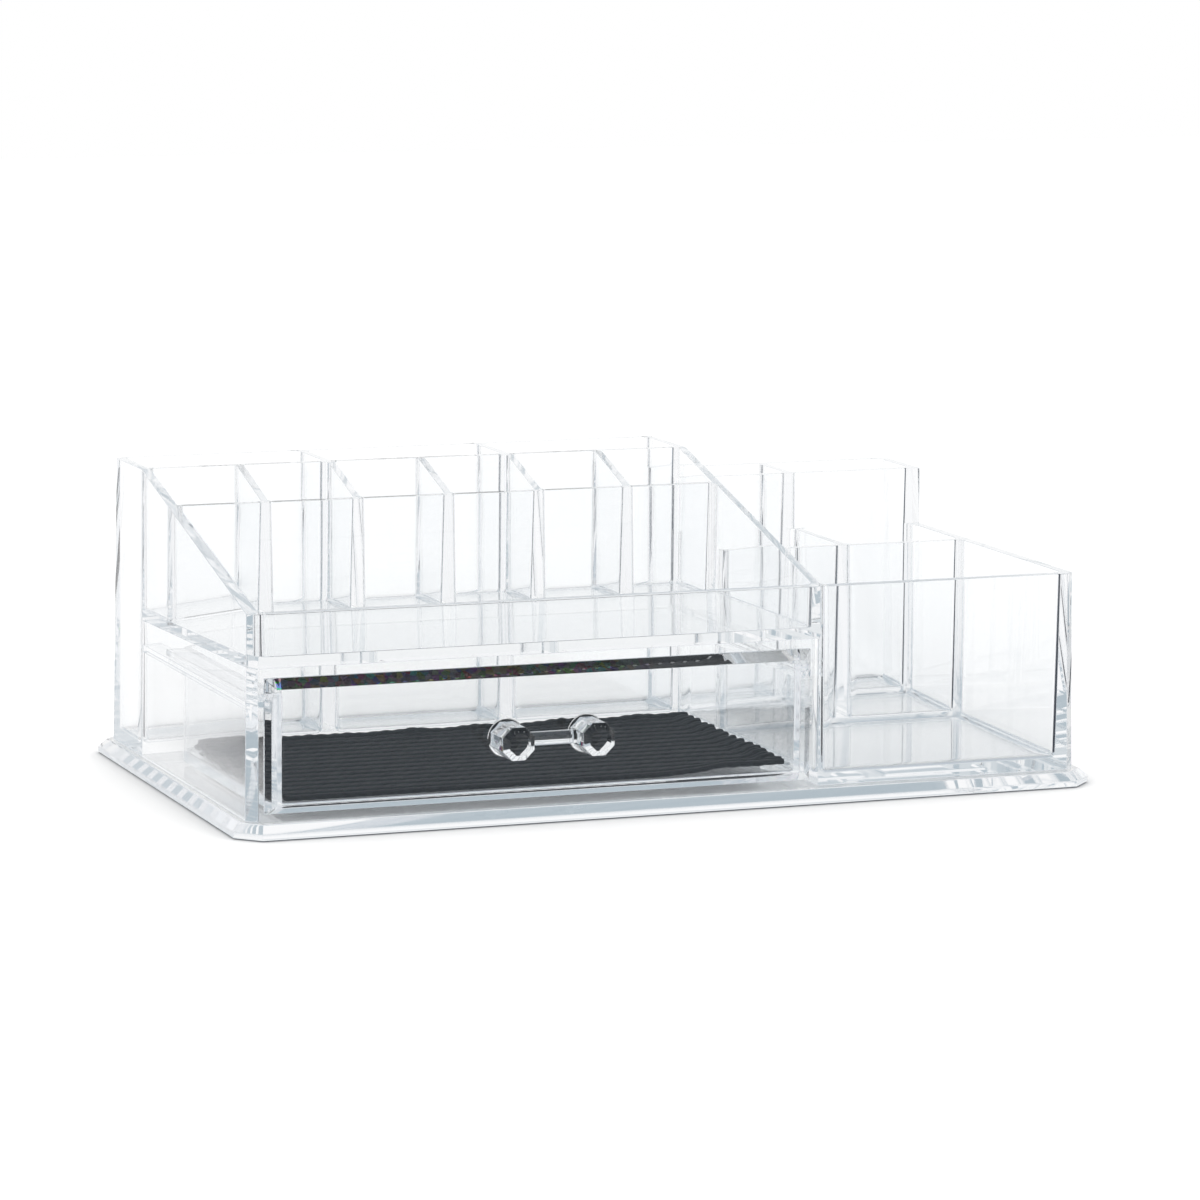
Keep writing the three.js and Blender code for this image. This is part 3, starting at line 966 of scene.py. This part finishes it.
def liner_tree(material):
    """Geometry Nodes: one wavy cord, laid in rows, with the mat's edges curled up a little."""
    tree = bpy.data.node_groups.new("liner_rows", "GeometryNodeTree")
    for name, (kind, value) in LINER_INPUTS.items():
        tree.interface.new_socket(name, in_out="INPUT", socket_type=kind).default_value = value
    tree.interface.new_socket("Geometry", in_out="OUTPUT", socket_type="NodeSocketGeometry")
    put, maths = flow(tree)
    given = put("NodeGroupInput").outputs

    end = put("ShaderNodeCombineXYZ", {0: given["Length"]}).outputs[0]
    line = put("GeometryNodeCurvePrimitiveLine", {"End": end}).outputs[0]
    line = put("GeometryNodeResampleCurve", {
        "Curve": line, "Count": given["Points"],
    }).outputs[0]
    place = put("GeometryNodeInputPosition").outputs[0]
    along = put("ShaderNodeSeparateXYZ", {0: place}).outputs[0]
    turn = maths("MULTIPLY", maths("DIVIDE", along, given["Wave Length"]), math.tau)
    sway = maths("MULTIPLY", maths("SINE", turn), given["Wave Height"])
    swing = put("ShaderNodeCombineXYZ", {1: sway}).outputs[0]
    cord = put("GeometryNodeSetPosition", {"Geometry": line, "Offset": swing}).outputs[0]
    ring = put("GeometryNodeCurvePrimitiveCircle", {
        "Resolution": CORD_SIDES, "Radius": given["Cord Radius"],
    }).outputs[0]
    cord = put("GeometryNodeCurveToMesh", {
        "Curve": cord, "Profile Curve": ring, "Fill Caps": True,
    }).outputs[0]
    flatter = put("ShaderNodeCombineXYZ", {0: 1.0, 1: 1.0, 2: given["Cord Flatness"]}).outputs[0]
    cord = put("GeometryNodeTransform", {"Geometry": cord, "Scale": flatter}).outputs[0]

    step = put("ShaderNodeCombineXYZ", {1: given["Row Spacing"]}).outputs[0]
    rows = put("GeometryNodeMeshLine", {"Count": given["Rows"], "Offset": step}).outputs[0]
    number = put("GeometryNodeInputIndex").outputs[0]
    odd = maths("MODULO", number, 2.0)
    ragged = put("FunctionNodeRandomValue", {
        "Min": maths("MULTIPLY", given["Ragged Ends"], -1.0), "Max": given["Ragged Ends"],
        "Seed": given["Seed"],
    }, data_type="FLOAT").outputs["Value"]
    shift = put("ShaderNodeCombineXYZ", {
        0: maths("MULTIPLY_ADD", odd, ROW_SLIP * MM, ragged),
        2: maths("MULTIPLY", odd, given["Rib Lift"]),
    }).outputs[0]
    rows = put("GeometryNodeSetPosition", {"Geometry": rows, "Offset": shift}).outputs[0]
    flip = put("ShaderNodeCombineXYZ", {0: maths("MULTIPLY", odd, math.pi)}).outputs[0]
    mat = put("GeometryNodeInstanceOnPoints", {
        "Points": rows, "Instance": cord, "Rotation": flip,
    }).outputs[0]
    mat = put("GeometryNodeRealizeInstances", {"Geometry": mat}).outputs[0]
    place = put("GeometryNodeInputPosition").outputs[0]
    axes = put("ShaderNodeSeparateXYZ", {0: place}).outputs

    def rise(value, start, end):
        return put("ShaderNodeMapRange", {
            "Value": value, "From Min": start, "From Max": end,
        }, interpolation_type="SMOOTHSTEP").outputs["Result"]

    def before(whole, distance):
        return maths("SUBTRACT", whole, distance * MM)

    length = given["Length"]
    depth = maths("MULTIPLY", given["Rows"], given["Row Spacing"])
    at_back = rise(axes[1], before(depth, CURL_FROM_BACK), depth)
    at_right = rise(axes[0], before(length, CURL_FROM_RIGHT), length)
    corner = maths(
        "MULTIPLY", rise(axes[1], CURL_CORNER_DEPTH * MM, 0.0),
        rise(axes[0], *[before(length, width) for width in CURL_CORNER_WIDTH]),
    )
    curl = maths("MAXIMUM", maths("MAXIMUM", at_back, at_right), corner)
    wander = put("ShaderNodeTexNoise", {
        "Vector": place, "Scale": CURL_SCALE, "Detail": CURL_DETAIL,
    }).outputs[0]
    uneven = maths("ADD", wander, CURL_LEAST)
    height = maths("MULTIPLY", maths("MULTIPLY", curl, given["Curl"]), uneven)
    mat = put("GeometryNodeSetPosition", {
        "Geometry": mat, "Offset": put("ShaderNodeCombineXYZ", {2: height}).outputs[0],
    }).outputs[0]
    mat = put("GeometryNodeSetMaterial", {"Geometry": mat, "Material": material}).outputs[0]
    put("NodeGroupOutput", {"Geometry": mat})
    return tree


def black_foam():
    """Matt black foam with a fine grain, and painted shade low down between the cords."""
    material, tree = new_material("black_foam_yarn")
    nodes, links = tree.nodes, tree.links
    place = nodes.new("ShaderNodeTexCoord").outputs["Object"]
    grain = add(nodes, "ShaderNodeTexNoise", Scale=FOAM_GRAIN_SCALE, Detail=FOAM_GRAIN_DETAIL)
    links.new(place, grain.inputs["Vector"])
    axes = nodes.new("ShaderNodeSeparateXYZ")
    links.new(place, axes.inputs[0])
    top = blended(tree, grain.outputs["Fac"], FOAM_DARK, FOAM_LIGHT)
    # Painted shade: below these heights, low between the cords, the foam is darker still.
    above_painted_shade = ramp(tree, axes.outputs["Z"], *[(LINER_LOW.z + height) * MM for height in FOAM_PAINTED_SHADE_FADE])
    rough = add(nodes, "ShaderNodeBump", Strength=FOAM_BUMP, Distance=FOAM_BUMP_HEIGHT)
    links.new(grain.outputs["Fac"], rough.inputs["Height"])
    foam = add(
        nodes, "ShaderNodeBsdfPrincipled", Roughness=FOAM_ROUGHNESS, Specular_IOR_Level=FOAM_SHINE,
    )
    links.new(blended(tree, above_painted_shade, FOAM_PAINTED_SHADE, top), foam.inputs["Base Color"])
    links.new(rough.outputs["Normal"], foam.inputs["Normal"])
    show(tree, foam.outputs[0])
    return material


liner = grow("mesh_liner", liner_tree(black_foam()), LINER_INPUTS)
radius = LINER_INPUTS["Cord Radius"][1]
liner.data.transform(Matrix.Translation(Vector((
    (LINER_LOW.x + LINER_END_MARGIN) * MM, LINER_LOW.y * MM + radius * FIRST_ROW_SHARE,
    LINER_LOW.z * MM + radius * LINER_INPUTS["Cord Flatness"][1],
))))
for polygon in liner.data.polygons:
    polygon.use_smooth = True
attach(liner, "drawer")
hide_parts("drawer_liner")
